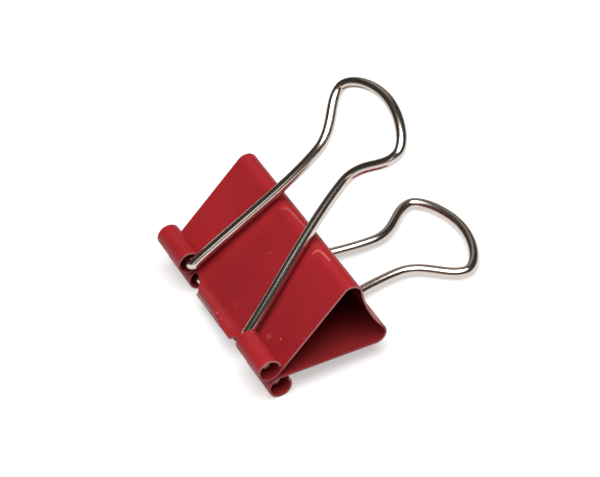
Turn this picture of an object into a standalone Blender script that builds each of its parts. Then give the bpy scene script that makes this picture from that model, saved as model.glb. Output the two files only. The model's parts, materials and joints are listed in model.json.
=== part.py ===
# Foldback paper clip: a spring body folded from red painted sheet steel, with two wire handles.
# The clip lies on its lower side, as it does on a desk, with both handles folded back.
# Metres, +Z up, +X along the knuckles, +Y from the lips towards the handle loops.

import math

import bmesh
import bpy
from mathutils import Vector

# Spring body: one sheet folded into a triangle, seen along X
WIDTH = 0.051
SHEET = 0.00045
JAW_HEIGHT = 0.02525
SPINE_WIDTH = 0.01866
SPINE_SLOPE = math.radians(15)
BEND_RADIUS = 0.00255

# Knuckles rolled at both ends of each lip, with an open seam
KNUCKLE_DIAMETER = 0.00535
KNUCKLE_LENGTH = 0.0111
SEAM_ANGLE = math.radians(54)

# Middle lip of a jaw, flared away from the paper, with a notch between it and each knuckle
NOTCH_WIDTH = 0.0022
LIP_DEPTH = 0.0028
LIP_FLARE_RADIUS = 0.006
LIP_FILLET = 0.0031

# Wire handle: feet in the knuckles, legs drawn in to a neck, and a wide loop
WIRE = 0.0024
FOOT_INSET = 0.0022
FOOT_BEND_RADIUS = 0.0017
LEG_TILT = math.radians(9)
NECK_WIDTH = 0.0123
NECK_HEIGHT = 0.0379
LOOP_WIDTH = 0.0263
SHOULDER_HEIGHT = 0.0506
LOOP_HEIGHT = 0.0567

# How far each stretch of the handle keeps its direction before it turns to the next
LEG_PULL = 0.0100
NECK_PULL_BELOW = 0.0098
NECK_PULL_ABOVE = 0.0060
SHOULDER_PULL_BELOW = 0.0043
SHOULDER_PULL_ABOVE = 0.0026
CROWN_PULL = 0.0067

# Clearances
LIP_GAP = 0.0003
SPLIT_GAP = 0.0003
LEG_GAP = 0.0003
LEAN_GAP = 0.0005

# Fineness of the curved stretches
BEND_STEPS = 10
SPINE_STEPS = 16
FOOT_STEPS = 3
CURL_STEPS = 34
LIP_STEPS = 8
WIRE_STEPS = 12
WIRE_RING = 4

PAINT_COLOUR = (0.38, 0.016, 0.022, 1.0)
WIRE_COLOUR = (0.78, 0.76, 0.73, 1.0)


def polar(radius, angle):
    """Return a vector of the section by its length and its angle."""
    return Vector((radius * math.cos(angle), radius * math.sin(angle)))


# Section of the upper side. Its first axis points from the upper jaw to the lower one,
# and its second from the lips to the spine, with the zero between the two lips.
CURL_MIDDLE = (KNUCKLE_DIAMETER - SHEET) / 2
BEND_MIDDLE = BEND_RADIUS - SHEET / 2
KNUCKLE_AXIS = Vector((-(KNUCKLE_DIAMETER + LIP_GAP) / 2, 0.0))
BEND_CENTRE = Vector((BEND_RADIUS - SPINE_WIDTH / 2, JAW_HEIGHT - BEND_RADIUS))
AXIS_TO_BEND = BEND_CENTRE - KNUCKLE_AXIS
AXIS_ANGLE = math.atan2(AXIS_TO_BEND.y, AXIS_TO_BEND.x)

# The plate of the jaw runs straight from the curl, on one side of it, to the other side of the bend
PLATE_ANGLE = AXIS_ANGLE + math.asin((CURL_MIDDLE + BEND_MIDDLE) / AXIS_TO_BEND.length)
CURL_START = PLATE_ANGLE - math.pi / 2
CURL_END = CURL_START - 2 * math.pi + SEAM_ANGLE
BEND_LOW = CURL_START + math.pi
BEND_HIGH = math.pi / 2 - SPINE_SLOPE

# The spring is parted in the middle of each bend, and a jaw turns on the outer edge of that gap
SPLIT_ANGLE = (BEND_LOW + BEND_HIGH) / 2
SPLIT_HALF = math.asin(SPLIT_GAP / 2 / (BEND_RADIUS - SHEET))
JAW_HINGE = BEND_CENTRE + polar(BEND_RADIUS, SPLIT_ANGLE)

# A handle that is folded back leans on the bend, and the clip lies on its lower knuckles and crown
LEG_REACH = BEND_RADIUS + LEAN_GAP + WIRE / 2
HANDLE_ANGLE = AXIS_ANGLE + math.asin(LEG_REACH / AXIS_TO_BEND.length) - math.pi / 2
LYING_ANGLE = HANDLE_ANGLE - math.asin((KNUCKLE_DIAMETER - WIRE) / 2 / LOOP_HEIGHT)

# Places along X
KNUCKLE_INNER = WIDTH / 2 - KNUCKLE_LENGTH
LIP_TOP = KNUCKLE_INNER - NOTCH_WIDTH


def clear_scene():
    """Remove everything from the open file."""
    for thing in list(bpy.data.objects):
        bpy.data.objects.remove(thing, do_unlink=True)
    for group in list(bpy.data.collections):
        bpy.data.collections.remove(group)


def make_material(name, colour, metallic, roughness, coat):
    """Return a Principled material."""
    material = bpy.data.materials.new(name)
    material.use_nodes = True
    shader = material.node_tree.nodes["Principled BSDF"]
    shader.inputs["Base Color"].default_value = colour
    shader.inputs["Metallic"].default_value = metallic
    shader.inputs["Roughness"].default_value = roughness
    shader.inputs["Coat Weight"].default_value = coat
    material.diffuse_color = colour
    return material


def arc(centre, radius, first, last, steps):
    """Return points along an arc of the section, with both ends."""
    return [centre + polar(radius, first + (last - first) * i / steps) for i in range(steps + 1)]


def add_sheet(bm, path, places):
    """Sweep a path of the section along X; places gives the stops along X for each point of it."""
    rows = [[bm.verts.new((x, point.x, point.y)) for x in stops] for point, stops in zip(path, places)]
    for row, following in zip(rows, rows[1:]):
        for i in range(len(row) - 1):
            bm.faces.new((row[i], row[i + 1], following[i + 1], following[i]))


def make_sheet_part(name, bm, origin, material, frame, collection):
    """Give a swept surface its thickness, and stand it in the clip's frame with its origin on a point."""
    bmesh.ops.remove_doubles(bm, verts=bm.verts, dist=1e-6)
    bmesh.ops.recalc_face_normals(bm, faces=bm.faces)
    bmesh.ops.translate(bm, verts=bm.verts, vec=(0.0, -origin.x, -origin.y))
    mesh = bpy.data.meshes.new(name)
    bm.to_mesh(mesh)
    bm.free()
    mesh.shade_smooth()
    mesh.materials.append(material)
    part = bpy.data.objects.new(name, mesh)
    collection.objects.link(part)
    part.parent = frame
    part.location = (0.0, origin.x, origin.y)
    thickness = part.modifiers.new("sheet thickness", "SOLIDIFY")
    thickness.thickness = SHEET
    thickness.offset = 0.0
    thickness.use_even_offset = True
    return part


def make_spine(material, frame, collection):
    """The back of the spring, bowed inwards, with the inner half of each bend."""
    upper_bend = arc(BEND_CENTRE, BEND_MIDDLE, SPLIT_ANGLE - SPLIT_HALF, BEND_HIGH, BEND_STEPS)
    bend_end = upper_bend[-1]
    bow_radius = -bend_end.x / math.sin(SPINE_SLOPE)
    bow_centre = Vector((0.0, bend_end.y + bow_radius * math.cos(SPINE_SLOPE)))
    bow_start = -math.pi / 2 - SPINE_SLOPE
    bow_end = -math.pi / 2 + SPINE_SLOPE
    bow = arc(bow_centre, bow_radius, bow_start, bow_end, SPINE_STEPS)
    lower_bend = [Vector((-point.x, point.y)) for point in reversed(upper_bend)]
    path = upper_bend + bow[1:-1] + lower_bend
    bm = bmesh.new()
    add_sheet(bm, path, [(-WIDTH / 2, WIDTH / 2)] * len(path))
    return make_sheet_part("spine", bm, Vector((0.0, JAW_HEIGHT)), material, frame, collection)


def lip_stops(depth_share):
    """Return the stops along X of the middle lip, which narrows in a fillet to its lower edge."""
    half = LIP_TOP - LIP_FILLET + LIP_FILLET * (1 - depth_share) ** 2
    return (-half, half)


def make_jaw(name, turn, material, frame, collection):
    """One jaw: outer half of a bend, flat plate with a curved foot, two rolled knuckles and a lip."""
    bend = arc(BEND_CENTRE, BEND_MIDDLE, SPLIT_ANGLE + SPLIT_HALF, BEND_LOW, BEND_STEPS)
    foot = arc(KNUCKLE_AXIS, CURL_MIDDLE, CURL_START, 0.0, FOOT_STEPS)
    curl = arc(KNUCKLE_AXIS, CURL_MIDDLE, 0.0, CURL_END, CURL_STEPS)
    flare_centre = foot[-1] - Vector((LIP_FLARE_RADIUS, 0.0))
    flare_end = -math.asin(LIP_DEPTH / LIP_FLARE_RADIUS)
    lip = arc(flare_centre, LIP_FLARE_RADIUS, 0.0, flare_end, LIP_STEPS)

    sides = (LIP_TOP, KNUCKLE_INNER, WIDTH / 2)
    plate_stops = [-x for x in reversed(sides)] + list(sides)
    plate = bend + foot
    bm = bmesh.new()
    add_sheet(bm, plate, [plate_stops] * len(plate))
    for side in (-1, 1):
        add_sheet(bm, curl, [(side * KNUCKLE_INNER, side * WIDTH / 2)] * len(curl))
    add_sheet(bm, lip, [lip_stops(i / LIP_STEPS) for i in range(LIP_STEPS + 1)])

    part = make_sheet_part(name, bm, JAW_HINGE, material, frame, collection)
    part.rotation_euler = (0.0, 0.0, turn)
    part.location = (0.0, math.cos(turn) * JAW_HINGE.x, JAW_HINGE.y)
    return part


def handle_points():
    """Return the knots of one half of the handle, from the crown to the foot, with their pulls."""
    leg = Vector((-math.sin(LEG_TILT), math.cos(LEG_TILT)))
    bore = KNUCKLE_DIAMETER / 2 - SHEET
    corner_x = KNUCKLE_INNER - LEG_GAP - WIRE / 2 / math.cos(LEG_TILT) + bore * math.tan(LEG_TILT)
    corner = Vector((corner_x, 0.0))
    turn = math.pi / 2 - LEG_TILT
    reach = FOOT_BEND_RADIUS * math.tan(turn / 2)
    pull = FOOT_BEND_RADIUS * 4 / 3 * math.tan(turn / 4)
    out = Vector((1.0, 0.0))
    up = Vector((0.0, 1.0))
    foot_end = Vector((WIDTH / 2 - FOOT_INSET, 0.0))
    foot_start = corner + reach * out
    foot_third = (foot_end - foot_start) / 3
    leg_start = corner + reach * leg
    neck = Vector((NECK_WIDTH / 2, NECK_HEIGHT))
    shoulder = Vector((LOOP_WIDTH / 2, SHOULDER_HEIGHT))
    crown = Vector((0.0, LOOP_HEIGHT))
    return [
        (crown, crown - CROWN_PULL * out, crown + CROWN_PULL * out),
        (shoulder, shoulder + SHOULDER_PULL_ABOVE * up, shoulder - SHOULDER_PULL_BELOW * up),
        (neck, neck + NECK_PULL_ABOVE * up, neck - NECK_PULL_BELOW * up),
        (leg_start, leg_start + LEG_PULL * leg, leg_start - pull * leg),
        (foot_start, foot_start - pull * out, foot_start + foot_third),
        (foot_end, foot_end - foot_third, foot_end + foot_third),
    ]


def make_handle_curve(material):
    """One wire, bent in a plane: X along the knuckles, Z along the handle, origin on the knuckle axis."""
    half = handle_points()
    mirror = [[Vector((-point.x, point.y)) for point in knot] for knot in half[1:]]
    knots = [(knot, after, before) for knot, before, after in reversed(mirror)] + half
    curve = bpy.data.curves.new("handle_wire", "CURVE")
    curve.dimensions = "3D"
    curve.resolution_u = WIRE_STEPS
    curve.bevel_depth = WIRE / 2
    curve.bevel_resolution = WIRE_RING
    curve.use_fill_caps = True
    curve.materials.append(material)
    spline = curve.splines.new("BEZIER")
    spline.bezier_points.add(len(knots) - 1)
    for point, (place, before, after) in zip(spline.bezier_points, knots):
        point.handle_left_type = "FREE"
        point.handle_right_type = "FREE"
        point.co = (place.x, 0.0, place.y)
        point.handle_left = (before.x, 0.0, before.y)
        point.handle_right = (after.x, 0.0, after.y)
    return curve


def make_handle(name, curve, turn, frame, collection):
    """Hang a handle on the knuckle axis of its jaw, folded back onto the bend."""
    handle = bpy.data.objects.new(name, curve)
    collection.objects.link(handle)
    handle.parent = frame
    handle.location = (0.0, math.cos(turn) * KNUCKLE_AXIS.x, KNUCKLE_AXIS.y)
    handle.rotation_euler = (HANDLE_ANGLE, 0.0, turn)
    return handle


def make_frame(collection):
    """The clip's own frame, tipped over so that the clip lies centred on the floor."""
    offset = -KNUCKLE_AXIS.x
    lips = -offset * math.sin(LYING_ANGLE) - KNUCKLE_DIAMETER / 2
    lean = HANDLE_ANGLE - LYING_ANGLE
    crown = offset * math.sin(LYING_ANGLE) + LOOP_HEIGHT * math.cos(lean) + WIRE / 2
    frame = bpy.data.objects.new("clip_frame", None)
    collection.objects.link(frame)
    frame.location = (0.0, -(lips + crown) / 2, offset * math.cos(LYING_ANGLE) + KNUCKLE_DIAMETER / 2)
    frame.rotation_euler = (LYING_ANGLE - math.pi / 2, 0.0, 0.0)
    return frame


def main():
    clear_scene()
    collection = bpy.data.collections.new("foldback_clip")
    bpy.context.scene.collection.children.link(collection)
    paint = make_material("red_paint", PAINT_COLOUR, 0.0, 0.38, 0.3)
    nickel = make_material("nickel_wire", WIRE_COLOUR, 1.0, 0.22, 0.0)
    frame = make_frame(collection)
    make_spine(paint, frame, collection)
    make_jaw("upper_jaw", 0.0, paint, frame, collection)
    make_jaw("lower_jaw", math.pi, paint, frame, collection)
    wire = make_handle_curve(nickel)
    make_handle("upper_handle", wire, 0.0, frame, collection)
    make_handle("lower_handle", wire, math.pi, frame, collection)
    bpy.context.view_layer.update()


main()
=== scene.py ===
# Foldback clip dressed for its picture: a red enamelled spring folded from one sheet, and two
# bright wire handles, on a pale floor. Metres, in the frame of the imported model.

import json
import math

import bmesh
import bpy
from mathutils import Matrix, Vector


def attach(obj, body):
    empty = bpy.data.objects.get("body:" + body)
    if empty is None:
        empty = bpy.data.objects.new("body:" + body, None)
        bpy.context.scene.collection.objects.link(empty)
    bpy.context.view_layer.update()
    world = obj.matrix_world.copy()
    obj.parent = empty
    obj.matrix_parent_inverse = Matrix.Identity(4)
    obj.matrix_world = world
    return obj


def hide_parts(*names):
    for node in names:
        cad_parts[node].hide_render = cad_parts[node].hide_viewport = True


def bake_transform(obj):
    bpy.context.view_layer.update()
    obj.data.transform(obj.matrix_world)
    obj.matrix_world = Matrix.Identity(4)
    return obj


# Spring body: one sheet folded into a triangle, seen along X
WIDTH = 0.051
SHEET = 0.00045
JAW_HEIGHT = 0.02525
SPINE_WIDTH = 0.01866
SPINE_SLOPE = math.radians(15)
BEND_RADIUS = 0.00255

# Knuckles rolled at both ends of each lip
KNUCKLE_DIAMETER = 0.00535
KNUCKLE_LENGTH = 0.0111
SEAM_ANGLE = math.radians(54)
LIP_GAP = 0.0003

# Middle lip of a jaw, and the notch beside it
NOTCH_WIDTH = 0.0022
LIP_DEPTH = 0.0028
LIP_FLARE_RADIUS = 0.006
LIP_FILLET = 0.0031

# Depth of each lip along its own X: both were cut unevenly
UPPER_LIP_EDGE = ((-0.0100, 0.0018), (-0.0010, 0.0021), (0.0050, LIP_DEPTH))
LOWER_LIP_EDGE = ((-0.0090, 0.0020), (-0.0020, LIP_DEPTH))

# Wire handle
WIRE = 0.0024
FOOT_INSET = 0.0022
FOOT_BEND_RADIUS = 0.0017
LEG_GAP = 0.0003
LEAN_GAP = 0.0005
LEG_TILT = math.radians(9)
NECK_WIDTH = 0.0123
NECK_HEIGHT = 0.0379
LOOP_WIDTH = 0.0263
SHOULDER_HEIGHT = 0.0506
LOOP_HEIGHT = 0.0567
LEG_PULL = 0.0100
NECK_PULL_BELOW = 0.0098
NECK_PULL_ABOVE = 0.0060
SHOULDER_PULL_BELOW = 0.0043
SHOULDER_PULL_ABOVE = 0.0026
CROWN_PULL = 0.0067

# Softened edges of the cut sheet and of the cut wire
EDGE_RADIUS = 0.00009
EDGE_STEPS = 3
WIRE_CHAMFER = 0.00025
SHEET_SHARP_ANGLE = math.radians(50)
WIRE_SHARP_ANGLE = math.radians(35)

# Height of a point in the hollow of the triangle, as a share of the jaw's height
HEART_SHARE = 0.6

# Fineness of the curved stretches
BEND_STEPS = 40
BOW_HALF_STEPS = 16
FOOT_STEPS = 8
CURL_STEPS = 90
LIP_STEPS = 20
LIP_COLUMNS = 36
KNOT_STEPS = 32
WIRE_SIDES = 32

# Distance within which points are joined, and least squared length that anything is divided by
WELD_DISTANCE = 1e-6
SMALLEST_SQUARE = 1e-12

# Material slots of each side of the spring
OUTER_SLOT, CUT_SLOT, INNER_SLOT = SIDE_SLOTS = range(3)

# Camera, fitted to the edges in the photograph
CAMERA_AIM = Vector((-0.00117, -0.00769, 0.01505))
CAMERA_DISTANCE = 0.7096
CAMERA_HEADING = math.radians(-68.53)
CAMERA_ELEVATION = math.radians(40.80)
CAMERA_ROLL = math.radians(-7.28)
CAMERA_LENS = 199.8
SENSOR_WIDTH = 36.0

# Soft light that hangs over the clip
LIGHT_AIM = Vector((0.0, 0.0, 0.012))
LIGHT_HEADING = math.radians(110)
LIGHT_ELEVATION = math.radians(77)
LIGHT_DISTANCE = 0.5
LIGHT_SIZE = 0.58
LIGHT_POWER = 3.6

# Room: its brightness near the horizon and above, the sines of the elevations between which it
# changes, and soft patches of light: heading, elevation and half width in degrees, and brightness
ROOM_COLOUR = (1.0, 0.86, 0.78, 1.0)
ROOM_LOW = 0.12
ROOM_HIGH = 0.05
ROOM_EDGES = (0.04, 0.16)
ROOM_PATCHES = (
    (290, 30, 22, 0.45),
    (158, 17, 11, 2.2),
    (150, 46, 8, 0.4),
)

# Floor, with the light that it adds where the camera or a reflection sees it
FLOOR_SIZE = 12.0
FLOOR_COLOUR = (0.62, 0.62, 0.62, 1.0)
FLOOR_ROUGHNESS = 0.9
FLOOR_LIFT = 0.48

# Colours: enamel outside, enamel inside darker as painted shade, cut edges, scuffs, a pale band and
# wire
PAINT_COLOUR = (0.38, 0.016, 0.022)
# Enamel inside: a darker, greyer copy of the outer enamel, painted shade for the inside of the fold
SHADED_INNER_COLOUR = (0.32, 0.025, 0.027)
# Cut edge paint, left dark on the low edges as painted shade
EDGE_COLOUR = (0.28, 0.035, 0.045)
# Pale colour of the high cut edges: partly rubbed paint, partly painted highlight
RUBBED_AND_LIT_COLOUR = (0.46, 0.155, 0.16)
# Pale colour of the scuffs, and of the painted highlight along the outer lip's bend
SCUFF_AND_HIGHLIGHT_COLOUR = (0.68, 0.16, 0.15)
# Pale pinkish colour of the band along the inside of each lip's edge
PALE_BAND_COLOUR = (0.60, 0.38, 0.39)
WIRE_COLOUR = (0.70, 0.635, 0.58)

# Each noise below is its scale and its detail, and its roughness where that isn't the usual one.
# A span is the part of a noise that is used, and a bump is its height and its strength.
NOISE_SPAN = (0.3, 0.7)

# Enamel: gloss outside and inside, roughness, cloudy tone, orange peel and slow waves
OUTER_GLOSS = 0.25
INNER_GLOSS = 0.08
ENAMEL_ROUGHNESS = (0.40, 0.50)
ROUGHNESS_NOISE = (420.0, 4.0)
FINE_CLOUD_NOISE = (140.0, 3.0)
COARSE_CLOUD_NOISE = (45.0, 1.0)
CLOUD_SPAN = (0.7, 1.3)
CLOUD_TONES = (0.90, 1.08)
PEEL_NOISE = (1500.0, 2.0)
PEEL_BUMP = (0.00002, 0.35)
WAVE_NOISE = (90.0, 2.0)
WAVE_BUMP = (0.0003, 0.25)

# Cut edges: heights between which they turn from dark paint, painted shade low down, to a pale rubbed
# colour high up, partly wear and partly painted highlight; the roughness of each, the metal that
# shows on the pale edges, and the patches, with the least that is rubbed in them
LIT_EDGE_HEIGHTS = (0.0070, 0.0098)
EDGE_ROUGHNESS = (0.5, 0.35)
RUBBED_AND_LIT_METAL = 0.35
PATCH_NOISE = (900.0, 4.0, 0.6)
PATCH_SPAN = (0.35, 0.65)
PATCH_LEAST = 0.5

# Drawn lines on the wire: tone, roughness, bump, and how often they change along the wire and
# round it
LINE_TONE = 0.78
WIRE_ROUGHNESS = (0.13, 0.24)
LINE_NOISE = (1.0, 3.0, 0.6)
LINE_BUMP = (0.00003, 0.5)
LINES_ALONG = 25
LINES_ROUND = 5

# Scuffs and other pale marks of the enamel, each with its half width, its strength, and its points by
# X and by the way up the sheet from its curl: arcs rubbed by the handle's legs on each bend, chips, a
# painted highlight along the outer lip's bend, and a pale band inside the lips
LEFT_RUB = (0.00018, 0.50, ((-0.0047, 0.0235), (-0.0044, 0.0240), (-0.0029, 0.0243),
                            (0.0000, 0.0244), (0.0036, 0.0246)))
RIGHT_RUB = (0.00020, 0.85, ((0.0111, 0.0225), (0.0112, 0.0235), (0.0117, 0.0238),
                             (0.0130, 0.0241), (0.0156, 0.0242)))
LIP_CHIP = (0.00025, 0.90, ((0.0006, -0.0026),))
FAINT_LIP_CHIP = (0.00022, 0.50, ((0.0028, -0.0027),))
SIDE_CHIP = (0.00022, 0.90, ((0.0197, 0.0054),))
SIDE_MARK = (0.00050, 0.45, ((0.0164, 0.0036),))
MIDDLE_MARK = (0.00028, 0.40, ((0.0008, 0.0150),))
LOW_MARK = (0.00028, 0.35, ((0.0028, 0.0023),))
# Painted highlight: a faint pale band along the bend from plate to lip, where the light catches the
# curve
LIP_BEND_HIGHLIGHT = (0.00060, 0.08, ((-0.0100, -0.0018), (0.0060, -0.0018)))
# A pale pinkish band along the inner face of each lip's edge
INNER_LIP_PALE_BAND = (0.0010, 0.85, ((-0.0115, -0.0040), (0.0115, -0.0040)))
LOWER_SCUFFS = (LEFT_RUB, RIGHT_RUB)
UPPER_SCUFFS_AND_HIGHLIGHT = (LEFT_RUB, RIGHT_RUB, LIP_CHIP, FAINT_LIP_CHIP, SIDE_CHIP, SIDE_MARK, MIDDLE_MARK,
                LOW_MARK, LIP_BEND_HIGHLIGHT)
INNER_PALE_BANDS = (INNER_LIP_PALE_BAND,)

# How each scuff, band and painted highlight fades, in half widths from its line, and how it is broken
# up, with its least strength
SCUFF_AND_HIGHLIGHT_FADE = (0.4, 1.6)
BREAK_NOISE = (1800.0, 2.0)
BREAK_SPAN = (0.35, 0.6)
BREAK_LEAST = 0.5

# Painted shade: darker tones low in the middle of each jaw and deep inside the fold: strength, the
# distances between which each fades, and its line by X and way
OUTER_SHADE = (0.20, (0.003, 0.016), ((0.002, 0.004), (0.022, 0.008)))
UPPER_INNER_SHADE = (0.76, (0.006, 0.020), ((-0.026, 0.030), (0.026, 0.030)))
LOWER_INNER_SHADE = (0.76, (0.001, 0.012), ((-0.026, 0.035), (0.026, 0.035)))


def polar(radius, angle):
    """Return a vector of the section by its length and its angle."""
    return Vector((radius * math.cos(angle), radius * math.sin(angle)))


# Section of the upper side: first axis from the upper jaw to the lower, second towards the spine
CURL_MIDDLE = (KNUCKLE_DIAMETER - SHEET) / 2
BEND_MIDDLE = BEND_RADIUS - SHEET / 2
KNUCKLE_AXIS = Vector((-(KNUCKLE_DIAMETER + LIP_GAP) / 2, 0.0))
BEND_CENTRE = Vector((BEND_RADIUS - SPINE_WIDTH / 2, JAW_HEIGHT - BEND_RADIUS))
AXIS_TO_BEND = BEND_CENTRE - KNUCKLE_AXIS
AXIS_ANGLE = math.atan2(AXIS_TO_BEND.y, AXIS_TO_BEND.x)
PLATE_ANGLE = AXIS_ANGLE + math.asin((CURL_MIDDLE + BEND_MIDDLE) / AXIS_TO_BEND.length)
CURL_START = PLATE_ANGLE - math.pi / 2
CURL_END = CURL_START - 2 * math.pi + SEAM_ANGLE
BEND_LOW = CURL_START + math.pi
BEND_HIGH = math.pi / 2 - SPINE_SLOPE
LEG_REACH = BEND_RADIUS + LEAN_GAP + WIRE / 2
HANDLE_ANGLE = AXIS_ANGLE + math.asin(LEG_REACH / AXIS_TO_BEND.length) - math.pi / 2
KNUCKLE_INNER = WIDTH / 2 - KNUCKLE_LENGTH
LIP_TOP = KNUCKLE_INNER - NOTCH_WIDTH


class Nodes:
    """Short ways to add and join shader nodes in one tree."""

    def __init__(self, tree):
        self.tree = tree
        tree.nodes.clear()

    def add(self, kind, **settings):
        """Add a node; a setting is a property of the node."""
        node = self.tree.nodes.new(kind)
        for name, value in settings.items():
            setattr(node, name, value)
        return node

    def feed(self, node, name, value):
        """Give a socket a value, or join another node's socket to it."""
        socket = node.inputs[name]
        if isinstance(value, bpy.types.NodeSocket):
            self.tree.links.new(value, socket)
        else:
            socket.default_value = value

    def math(self, operation, *values):
        """Return the result of a calculation."""
        node = self.add("ShaderNodeMath", operation=operation)
        for i, value in enumerate(values):
            self.feed(node, i, value)
        return node.outputs[0]

    def vector_math(self, operation, first, second, output=0):
        """Return a result of a calculation with vectors."""
        node = self.add("ShaderNodeVectorMath", operation=operation)
        self.feed(node, 0, first)
        self.feed(node, 1, second)
        return node.outputs[output]

    def distance_to(self, place, points):
        """Return the distance from a place to a line through points, or to a single point."""
        nearest = None
        for start, end in zip(points, points[1:] or points):
            along = Vector((*end, 0.0)) - Vector((*start, 0.0))
            offset = self.vector_math("SUBTRACT", place, (*start, 0.0))
            scaled = along / max(along.length_squared, SMALLEST_SQUARE)
            share = self.vector_math("DOT_PRODUCT", offset, scaled, 1)
            share = self.span(share, 0.0, 1.0, 0.0, 1.0)
            nearest_point = self.vector_math("MULTIPLY", along, share)
            gap = self.vector_math("DISTANCE", offset, nearest_point, 1)
            nearest = gap if nearest is None else self.math("MINIMUM", nearest, gap)
        return nearest

    def noise(self, place, scale, detail, roughness=0.5):
        """Return even noise between zero and one."""
        node = self.add("ShaderNodeTexNoise")
        self.feed(node, "Vector", place)
        self.feed(node, "Scale", scale)
        self.feed(node, "Detail", detail)
        self.feed(node, "Roughness", roughness)
        return node.outputs["Fac"]

    def span(self, value, low, high, to_low, to_high):
        """Return a value carried from one span to another, held at the ends."""
        node = self.add("ShaderNodeMapRange")
        for name, number in zip(("Value", "From Min", "From Max", "To Min", "To Max"),
                                (value, low, high, to_low, to_high)):
            self.feed(node, name, number)
        return node.outputs["Result"]

    def mix(self, share, first, second):
        """Return a mix of two colours."""
        node = self.add("ShaderNodeMix", data_type="RGBA")
        self.feed(node, 0, share)
        self.feed(node, 6, first)
        self.feed(node, 7, second)
        return node.outputs[2]

    def bump(self, height, distance, strength=1.0, normal=None):
        """Return a normal bent by a height."""
        node = self.add("ShaderNodeBump")
        self.feed(node, "Height", height)
        self.feed(node, "Distance", distance)
        self.feed(node, "Strength", strength)
        if normal is not None:
            self.feed(node, "Normal", normal)
        return node.outputs["Normal"]

    def attribute(self, name):
        """Return a vector that is stored on the mesh."""
        return self.add("ShaderNodeAttribute", attribute_name=name).outputs["Vector"]


def new_material(name):
    """Return a material with its nodes and its Principled shader."""
    material = bpy.data.materials.new(name)
    material.use_nodes = True
    nodes = Nodes(material.node_tree)
    shader = nodes.add("ShaderNodeBsdfPrincipled")
    output = nodes.add("ShaderNodeOutputMaterial")
    nodes.feed(output, "Surface", shader.outputs[0])
    return material, nodes, shader


def toned(colour, share=1.0):
    """Return a colour made lighter or darker, with its fourth number."""
    return (*(min(1.0, part * share) for part in colour), 1.0)


def enamel_material(name, base_colour, gloss, shade, scuff_and_highlight_colour, scuffs_and_highlights):
    """Smooth red enamel with a faint orange peel, a cloudy tone, painted shade near a line, and pale
    scuffs, bands and painted highlights.
    """
    material, nodes, shader = new_material(name)
    place = nodes.attribute("rest_place")
    fine = nodes.noise(place, *FINE_CLOUD_NOISE)
    cloud = nodes.math("ADD", fine, nodes.noise(place, *COARSE_CLOUD_NOISE))
    dark_tone, light_tone = (toned(base_colour, share) for share in CLOUD_TONES)
    colour = nodes.mix(nodes.span(cloud, *CLOUD_SPAN, 0.0, 1.0), dark_tone, light_tone)
    sheet_place = nodes.attribute("sheet_place")
    # Painted shade: the colour is mixed towards black near the shade's line, fading with distance
    depth, reach, line = shade
    painted_shade = nodes.span(nodes.distance_to(sheet_place, line), *reach, depth, 0.0)
    colour = nodes.mix(painted_shade, colour, (0.0, 0.0, 0.0, 1.0))
    broken = nodes.span(nodes.noise(place, *BREAK_NOISE), *BREAK_SPAN, BREAK_LEAST, 1.0)
    # Each mark mixes in the pale colour: the scuffs are wear, the band on the outer lip's bend is a
    # painted highlight
    for half_width, strength, points in scuffs_and_highlights:
        near, far = (half_width * share for share in SCUFF_AND_HIGHLIGHT_FADE)
        scuff_and_highlight = nodes.span(nodes.distance_to(sheet_place, points), near, far, strength, 0.0)
        colour = nodes.mix(nodes.math("MULTIPLY", scuff_and_highlight, broken), colour, toned(scuff_and_highlight_colour))
    nodes.feed(shader, "Base Color", colour)
    patchy = nodes.noise(place, *ROUGHNESS_NOISE)
    nodes.feed(shader, "Roughness", nodes.span(patchy, *NOISE_SPAN, *ENAMEL_ROUGHNESS))
    shader.inputs["Specular IOR Level"].default_value = gloss
    peel = nodes.bump(nodes.noise(place, *PEEL_NOISE), *PEEL_BUMP)
    nodes.feed(shader, "Normal", nodes.bump(nodes.noise(place, *WAVE_NOISE), *WAVE_BUMP, peel))
    return material


def edge_material():
    """Cut edge of the sheet: thin paint, dark low down as painted shade, and pale with a little metal
    on the edges that lie high, partly rubbed down to the steel and partly painted highlight.
    """
    material, nodes, shader = new_material("cut_edge")
    place = nodes.attribute("rest_place")
    split = nodes.add("ShaderNodeSeparateXYZ")
    nodes.feed(split, 0, place)
    # Painted light: the edges that lie high turn pale and a little metallic as a painted highlight,
    # and those low down stay dark as painted shade; patches of wear break this up
    high = nodes.span(split.outputs["Z"], *LIT_EDGE_HEIGHTS, 0.0, 1.0)
    patchy = nodes.span(nodes.noise(place, *PATCH_NOISE), *PATCH_SPAN, PATCH_LEAST, 1.0)
    worn_and_lit = nodes.math("MULTIPLY", high, patchy)
    nodes.feed(shader, "Base Color", nodes.mix(worn_and_lit, toned(EDGE_COLOUR), toned(RUBBED_AND_LIT_COLOUR)))
    nodes.feed(shader, "Roughness", nodes.span(worn_and_lit, 0.0, 1.0, *EDGE_ROUGHNESS))
    nodes.feed(shader, "Metallic", nodes.span(worn_and_lit, 0.0, 1.0, 0.0, RUBBED_AND_LIT_METAL))
    return material


def wire_material():
    """Bright nickel plate over drawn wire, with faint lines along it."""
    material, nodes, shader = new_material("nickel_wire")
    lines = nodes.noise(nodes.attribute("along_wire"), *LINE_NOISE)
    share = nodes.span(lines, *NOISE_SPAN, 0.0, 1.0)
    colour = nodes.mix(share, toned(WIRE_COLOUR, LINE_TONE), toned(WIRE_COLOUR))
    nodes.feed(shader, "Base Color", colour)
    shader.inputs["Metallic"].default_value = 1.0
    nodes.feed(shader, "Roughness", nodes.span(lines, *NOISE_SPAN, *WIRE_ROUGHNESS))
    nodes.feed(shader, "Normal", nodes.bump(lines, *LINE_BUMP))
    return material


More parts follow.
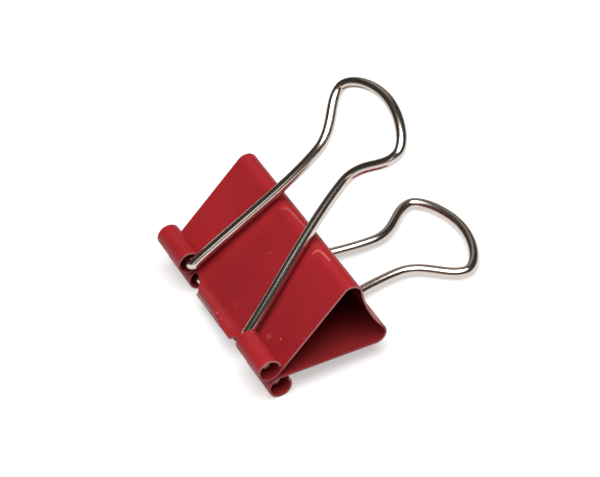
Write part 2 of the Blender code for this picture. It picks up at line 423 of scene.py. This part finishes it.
def floor_material():
    """Pale floor that is white in the picture and in reflections, and keeps the clip's shadow."""
    material, nodes, shader = new_material("floor")
    shader.inputs["Base Color"].default_value = FLOOR_COLOUR
    shader.inputs["Roughness"].default_value = FLOOR_ROUGHNESS
    shader.inputs["Specular IOR Level"].default_value = 0.0
    shader.inputs["Emission Color"].default_value = (1.0, 1.0, 1.0, 1.0)
    path = nodes.add("ShaderNodeLightPath")
    seen = nodes.math("MAXIMUM", path.outputs["Is Camera Ray"], path.outputs["Is Glossy Ray"])
    seen = nodes.math("MAXIMUM", seen, path.outputs["Is Transmission Ray"])
    nodes.feed(shader, "Emission Strength", nodes.math("MULTIPLY", seen, FLOOR_LIFT))
    return material


def clip_place(joints):
    """Return the matrix from the clip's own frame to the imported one, from the two handle hinges."""
    places = {joint["name"]: Vector(joint["pos_m"]) for joint in joints}
    upper = places["upper_handle_swing"]
    lower = places["lower_handle_swing"]
    across = Vector((1.0, 0.0, 0.0))
    first = (lower - upper).normalized()
    second = across.cross(first)
    turn = Matrix((across, first, second)).transposed().to_4x4()
    return Matrix.Translation((upper + lower) / 2) @ turn


def arc(centre, radius, first, last, steps):
    """Return points along an arc of the section, with both ends."""
    return [centre + polar(radius, first + (last - first) * i / steps) for i in range(steps + 1)]


def ways_along(path, zero, way):
    """Return the way of each point of a path, falling along it, from the way at one point."""
    travelled = [0.0]
    for point, following in zip(path, path[1:]):
        travelled.append(travelled[-1] + (following - point).length)
    return [way + travelled[zero] - length for length in travelled]


def eased(table, value):
    """Return a table's number at a value, eased between its entries and held at its ends."""
    for (low, first), (high, second) in zip(table, table[1:]):
        if low < value < high:
            share = (1 - math.cos(math.pi * (value - low) / (high - low))) / 2
            return first + (second - first) * share
    return table[0][1] if value <= table[0][0] else table[-1][1]


def add_sheet(bm, rows):
    """Join rows of points into a sheet; a point is its X, its place in the section and its way."""
    sheet_place = bm.verts.layers.float_vector["sheet_place"]
    made = []
    for row in rows:
        verts = [bm.verts.new((x, point.x, point.y)) for x, point, _ in row]
        for vert, (x, _, way) in zip(verts, row):
            vert[sheet_place] = (x, way, 0.0)
        made.append(verts)
    for row, following in zip(made, made[1:]):
        for i in range(len(row) - 1):
            bm.faces.new((row[i], row[i + 1], following[i + 1], following[i]))


def side_surface(lip_edge):
    """Return the middle surface of a side: half the spine, a bend, a jaw, its knuckles and lip."""
    bend = arc(BEND_CENTRE, BEND_MIDDLE, BEND_HIGH, BEND_LOW, BEND_STEPS)
    bow_radius = -bend[0].x / math.sin(SPINE_SLOPE)
    bow_centre = Vector((0.0, bend[0].y + bow_radius * math.cos(SPINE_SLOPE)))
    step = 2 * SPINE_SLOPE / (2 * BOW_HALF_STEPS + 1)
    bow = [bow_centre + polar(bow_radius, -math.pi / 2 - (i + 0.5) * step)
           for i in range(BOW_HALF_STEPS)]
    middle = Vector((0.0, bow[0].y))
    foot = arc(KNUCKLE_AXIS, CURL_MIDDLE, CURL_START, 0.0, FOOT_STEPS)
    curl = arc(KNUCKLE_AXIS, CURL_MIDDLE, 0.0, CURL_END, CURL_STEPS)
    flare_centre = foot[-1] - Vector((LIP_FLARE_RADIUS, 0.0))

    columns = [2 * i / LIP_COLUMNS - 1 for i in range(LIP_COLUMNS + 1)]
    ends = (KNUCKLE_INNER, WIDTH / 2)
    stops = [-x for x in reversed(ends)] + [LIP_TOP * column for column in columns] + list(ends)
    plate = [middle] + bow + bend + foot
    ways = ways_along(plate, len(plate) - len(foot), 0.0)
    bm = bmesh.new()
    bm.verts.layers.float_vector.new("sheet_place")
    add_sheet(bm, [[(x, point, way) for x in stops] for point, way in zip(plate, ways)])
    for side in (-1, 1):
        add_sheet(bm, [[(side * x, point, way) for x in ends]
                       for point, way in zip(curl, ways_along(curl, 0, ways[-1]))])
    lip = []
    for i in range(LIP_STEPS + 1):
        share = i / LIP_STEPS
        half = LIP_TOP - LIP_FILLET + LIP_FILLET * (1 - share) ** 2
        row = []
        for column in columns:
            turn = math.asin(eased(lip_edge, half * column) / LIP_FLARE_RADIUS) * share
            row.append((half * column, flare_centre + polar(LIP_FLARE_RADIUS, -turn),
                        ways[-1] - LIP_FLARE_RADIUS * turn))
        lip.append(row)
    add_sheet(bm, lip)
    bmesh.ops.remove_doubles(bm, verts=bm.verts, dist=WELD_DISTANCE)
    bmesh.ops.recalc_face_normals(bm, faces=bm.faces)
    return bm


def new_object(name, data):
    """Return a new object that holds the data, in the scene."""
    made = bpy.data.objects.new(name, data)
    bpy.context.scene.collection.objects.link(made)
    return made


def thicken(bm, name):
    """Give a surface the sheet's thickness, with its cut faces in their own material slot."""
    mesh = bpy.data.meshes.new(name)
    bm.to_mesh(mesh)
    bm.free()
    part = new_object(name, mesh)
    thickness = part.modifiers.new("thickness", "SOLIDIFY")
    thickness.thickness = SHEET
    thickness.offset = 0.0
    thickness.use_even_offset = True
    thickness.material_offset_rim = CUT_SLOT
    for _ in SIDE_SLOTS:
        mesh.materials.append(None)
    depsgraph = bpy.context.evaluated_depsgraph_get()
    solid = bpy.data.meshes.new_from_object(part.evaluated_get(depsgraph))
    bpy.data.objects.remove(part)
    bpy.data.meshes.remove(mesh)
    return solid


def soften_cuts(mesh):
    """Round the cut edges, apart from those where the two sides of the spring meet."""
    bm = bmesh.new()
    bm.from_mesh(mesh)
    cuts = []
    for edge in bm.edges:
        slots = [face.material_index for face in edge.link_faces]
        at_middle = all(abs(vert.co.y) < EDGE_RADIUS and vert.co.z > JAW_HEIGHT / 2
                        for vert in edge.verts)
        if slots.count(CUT_SLOT) == 1 and not at_middle:
            cuts.append(edge)
    bmesh.ops.bevel(bm, geom=cuts, offset=EDGE_RADIUS, segments=EDGE_STEPS, profile=0.5,
                    affect="EDGES", clamp_overlap=True, material=CUT_SLOT)
    bm.to_mesh(mesh)
    bm.free()


def mark_inside(mesh):
    """Put the faces inside the triangle, the knuckles and the lips in their own material slot."""
    ways = mesh.attributes["sheet_place"].data
    for face in mesh.polygons:
        way = sum(ways[i].vector.y for i in face.vertices) / len(face.vertices)
        x = face.center.x
        if way > 0:
            heart = Vector((x, 0.0, JAW_HEIGHT * HEART_SHARE))
        elif abs(x) > KNUCKLE_INNER:
            heart = Vector((x, *KNUCKLE_AXIS))
        else:
            heart = Vector((x, KNUCKLE_DIAMETER, face.center.z))
        if face.material_index == OUTER_SLOT and face.normal.dot(heart - face.center) > 0:
            face.material_index = INNER_SLOT


def store_places(mesh):
    """Keep each vertex's place at rest on the mesh, for its material."""
    places = mesh.attributes.new("rest_place", "FLOAT_VECTOR", "POINT")
    for vertex, place in zip(mesh.vertices, places.data):
        place.vector = vertex.co


def make_side(name, jaw, turn, clip, lip_edge, materials):
    """One side of the spring, with its bend between the spine and its jaw."""
    mesh = thicken(side_surface(lip_edge), name)
    mark_inside(mesh)
    soften_cuts(mesh)
    side = clip @ Matrix.Rotation(turn, 4, "Z")
    mesh.transform(side)
    for i, material in enumerate(materials):
        mesh.materials[i] = material
    mesh.shade_smooth()
    mesh.set_sharp_from_angle(angle=SHEET_SHARP_ANGLE)
    store_places(mesh)
    part = new_object(name, mesh)
    part.modifiers.new("even shading", "WEIGHTED_NORMAL").keep_sharp = True
    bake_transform(part)
    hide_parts("spine", jaw)


def handle_knots():
    """Return the knots of one half of the handle, from the crown to the foot, with their pulls."""
    leg = Vector((-math.sin(LEG_TILT), math.cos(LEG_TILT)))
    bore = KNUCKLE_DIAMETER / 2 - SHEET
    corner_x = KNUCKLE_INNER - LEG_GAP - WIRE / 2 / math.cos(LEG_TILT) + bore * math.tan(LEG_TILT)
    corner = Vector((corner_x, 0.0))
    turn = math.pi / 2 - LEG_TILT
    reach = FOOT_BEND_RADIUS * math.tan(turn / 2)
    pull = FOOT_BEND_RADIUS * 4 / 3 * math.tan(turn / 4)
    out = Vector((1.0, 0.0))
    up = Vector((0.0, 1.0))
    foot_end = Vector((WIDTH / 2 - FOOT_INSET, 0.0))
    foot_start = corner + reach * out
    foot_third = (foot_end - foot_start) / 3
    leg_start = corner + reach * leg
    neck = Vector((NECK_WIDTH / 2, NECK_HEIGHT))
    shoulder = Vector((LOOP_WIDTH / 2, SHOULDER_HEIGHT))
    crown = Vector((0.0, LOOP_HEIGHT))
    return [
        (crown, crown - CROWN_PULL * out, crown + CROWN_PULL * out),
        (shoulder, shoulder + SHOULDER_PULL_ABOVE * up, shoulder - SHOULDER_PULL_BELOW * up),
        (neck, neck + NECK_PULL_ABOVE * up, neck - NECK_PULL_BELOW * up),
        (leg_start, leg_start + LEG_PULL * leg, leg_start - pull * leg),
        (foot_start, foot_start - pull * out, foot_start + foot_third),
        (foot_end, foot_end - foot_third, foot_end + foot_third),
    ]


def wire_line():
    """Return the points of the whole wire, from foot to foot, in the plane of the handle."""
    knots = handle_knots()
    half = []
    for (start, _, leave), (end, arrive, _) in zip(knots, knots[1:]):
        for i in range(KNOT_STEPS):
            t = i / KNOT_STEPS
            half.append(start * (1 - t) ** 3 + leave * 3 * t * (1 - t) ** 2
                        + arrive * 3 * t ** 2 * (1 - t) + end * t ** 3)
    half.append(knots[-1][0])
    return [Vector((-point.x, point.y)) for point in reversed(half[1:])] + half


def wire_mesh(name, place):
    """Return a round wire swept along its line, with chamfered ends and its length stored on it."""
    line = wire_line()
    end_radius = WIRE / 2 - WIRE_CHAMFER
    first = line[0] + (line[1] - line[0]).normalized() * WIRE_CHAMFER
    last = line[-1] + (line[-2] - line[-1]).normalized() * WIRE_CHAMFER
    rings = [(line[0], end_radius), (first, WIRE / 2)]
    rings += [(point, WIRE / 2) for point in line[2:-2]]
    rings += [(last, WIRE / 2), (line[-1], end_radius)]
    bm = bmesh.new()
    travelled = bm.verts.layers.float_vector.new("along_wire")
    loops = []
    length = 0.0
    for i, (point, radius) in enumerate(rings):
        before = rings[max(i - 1, 0)][0]
        after = rings[min(i + 1, len(rings) - 1)][0]
        ahead = (after - before).normalized()
        length += (point - before).length
        loop = []
        for j in range(WIRE_SIDES):
            round_place = polar(1.0, 2 * math.pi * j / WIRE_SIDES)
            sideways = Vector((-ahead.y * round_place.x, round_place.y, ahead.x * round_place.x))
            vert = bm.verts.new(Vector((point.x, 0.0, point.y)) + sideways * radius)
            vert[travelled] = (length * LINES_ALONG, *(round_place * LINES_ROUND))
            loop.append(vert)
        loops.append(loop)
    for loop, following in zip(loops, loops[1:]):
        for j in range(WIRE_SIDES):
            k = (j + 1) % WIRE_SIDES
            bm.faces.new((loop[j], loop[k], following[k], following[j]))
    bm.faces.new(loops[0])
    bm.faces.new(reversed(loops[-1]))
    bmesh.ops.recalc_face_normals(bm, faces=bm.faces)
    mesh = bpy.data.meshes.new(name)
    bm.to_mesh(mesh)
    bm.free()
    mesh.transform(place)
    mesh.shade_smooth()
    mesh.set_sharp_from_angle(angle=WIRE_SHARP_ANGLE)
    return mesh


def make_wire(name, node, turn, clip, material):
    """A wire handle, folded back over its jaw."""
    hinge = Matrix.Translation((0.0, *KNUCKLE_AXIS))
    hang = hinge @ Matrix.Rotation(HANDLE_ANGLE, 4, "X")
    mesh = wire_mesh(name, clip @ Matrix.Rotation(turn, 4, "Z") @ hang)
    mesh.materials.append(material)
    part = new_object(name, mesh)
    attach(part, node)
    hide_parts(node)


def make_floor():
    """Lay the floor under the clip."""
    mesh = bpy.data.meshes.new("floor")
    half = FLOOR_SIZE / 2
    corners = [(-half, -half, 0), (half, -half, 0), (half, half, 0), (-half, half, 0)]
    mesh.from_pydata(corners, [], [(0, 1, 2, 3)])
    mesh.materials.append(floor_material())
    floor = new_object("floor", mesh)


def heading_vector(heading, elevation):
    """Return the unit vector at a compass heading, from +Y towards +X, and an elevation."""
    flat = math.cos(elevation)
    return Vector((math.sin(heading) * flat, math.cos(heading) * flat, math.sin(elevation)))


def make_light():
    """Hang the soft light over the clip."""
    light = bpy.data.lights.new("key_light", "AREA")
    light.shape = "DISK"
    light.size = LIGHT_SIZE
    light.energy = LIGHT_POWER
    lamp = new_object("key_light", light)
    out = heading_vector(LIGHT_HEADING, LIGHT_ELEVATION)
    lamp.location = LIGHT_AIM + out * LIGHT_DISTANCE
    lamp.rotation_euler = out.to_track_quat("Z", "Y").to_euler()


def make_room():
    """Light the room faintly, with soft patches that the wires reflect."""
    world = bpy.data.worlds.new("studio")
    bpy.context.scene.world = world
    world.use_nodes = True
    nodes = Nodes(world.node_tree)
    place = nodes.add("ShaderNodeTexCoord").outputs["Generated"]
    split = nodes.add("ShaderNodeSeparateXYZ")
    nodes.feed(split, 0, place)
    level = nodes.span(split.outputs["Z"], *ROOM_EDGES, ROOM_LOW, ROOM_HIGH)
    for heading, elevation, half_width, brightness in ROOM_PATCHES:
        towards = heading_vector(math.radians(heading), math.radians(elevation))
        near = nodes.vector_math("DOT_PRODUCT", place, towards, 1)
        edge = math.cos(math.radians(half_width))
        level = nodes.math("ADD", level, nodes.span(near, edge, 1.0, 0.0, brightness))
    background = nodes.add("ShaderNodeBackground")
    background.inputs["Color"].default_value = ROOM_COLOUR
    nodes.feed(background, "Strength", level)
    output = nodes.add("ShaderNodeOutputWorld")
    nodes.feed(output, "Surface", background.outputs[0])


def make_camera():
    """Stand the camera where the photograph was taken from."""
    forward = heading_vector(CAMERA_HEADING, -CAMERA_ELEVATION)
    level = forward.cross(Vector((0.0, 0.0, 1.0))).normalized()
    upright = level.cross(forward)
    right = level * math.cos(CAMERA_ROLL) + upright * math.sin(CAMERA_ROLL)
    up = right.cross(forward)
    data = bpy.data.cameras.new("camera")
    data.lens = CAMERA_LENS
    data.sensor_width = SENSOR_WIDTH
    camera = new_object("camera", data)
    turn = Matrix((right, up, -forward)).transposed().to_4x4()
    camera.matrix_world = Matrix.Translation(CAMERA_AIM - forward * CAMERA_DISTANCE) @ turn
    bpy.context.scene.camera = camera


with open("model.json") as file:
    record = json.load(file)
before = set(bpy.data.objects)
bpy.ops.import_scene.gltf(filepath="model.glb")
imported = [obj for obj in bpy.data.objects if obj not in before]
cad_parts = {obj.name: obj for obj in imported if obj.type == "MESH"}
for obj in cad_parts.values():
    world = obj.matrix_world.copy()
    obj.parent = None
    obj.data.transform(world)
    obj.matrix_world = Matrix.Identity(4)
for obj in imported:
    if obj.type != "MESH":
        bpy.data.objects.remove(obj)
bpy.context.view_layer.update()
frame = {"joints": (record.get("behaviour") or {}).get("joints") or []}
clip = clip_place(frame["joints"])
upper_enamel = enamel_material("red_enamel", PAINT_COLOUR, OUTER_GLOSS, OUTER_SHADE,
                               SCUFF_AND_HIGHLIGHT_COLOUR, UPPER_SCUFFS_AND_HIGHLIGHT)
lower_enamel = enamel_material("red_enamel_below", PAINT_COLOUR, OUTER_GLOSS, OUTER_SHADE,
                               SCUFF_AND_HIGHLIGHT_COLOUR, LOWER_SCUFFS)
# Inner enamel: the darker copy as painted shade, with more painted shade deep in the fold
upper_inner = enamel_material("inner_enamel", SHADED_INNER_COLOUR, INNER_GLOSS, UPPER_INNER_SHADE,
                              PALE_BAND_COLOUR, INNER_PALE_BANDS)
lower_inner = enamel_material("inner_enamel_below", SHADED_INNER_COLOUR, INNER_GLOSS, LOWER_INNER_SHADE,
                              PALE_BAND_COLOUR, INNER_PALE_BANDS)
cut_edge = edge_material()
make_side("spring_upper_side", "upper_jaw", 0.0, clip, UPPER_LIP_EDGE,
          (upper_enamel, cut_edge, upper_inner))
make_side("spring_lower_side", "lower_jaw", math.pi, clip, LOWER_LIP_EDGE,
          (lower_enamel, cut_edge, lower_inner))
wire = wire_material()
make_wire("upper_wire", "upper_handle", 0.0, clip, wire)
make_wire("lower_wire", "lower_handle", math.pi, clip, wire)
make_floor()
make_light()
make_room()
make_camera()
bpy.context.scene.view_settings.view_transform = "Standard"
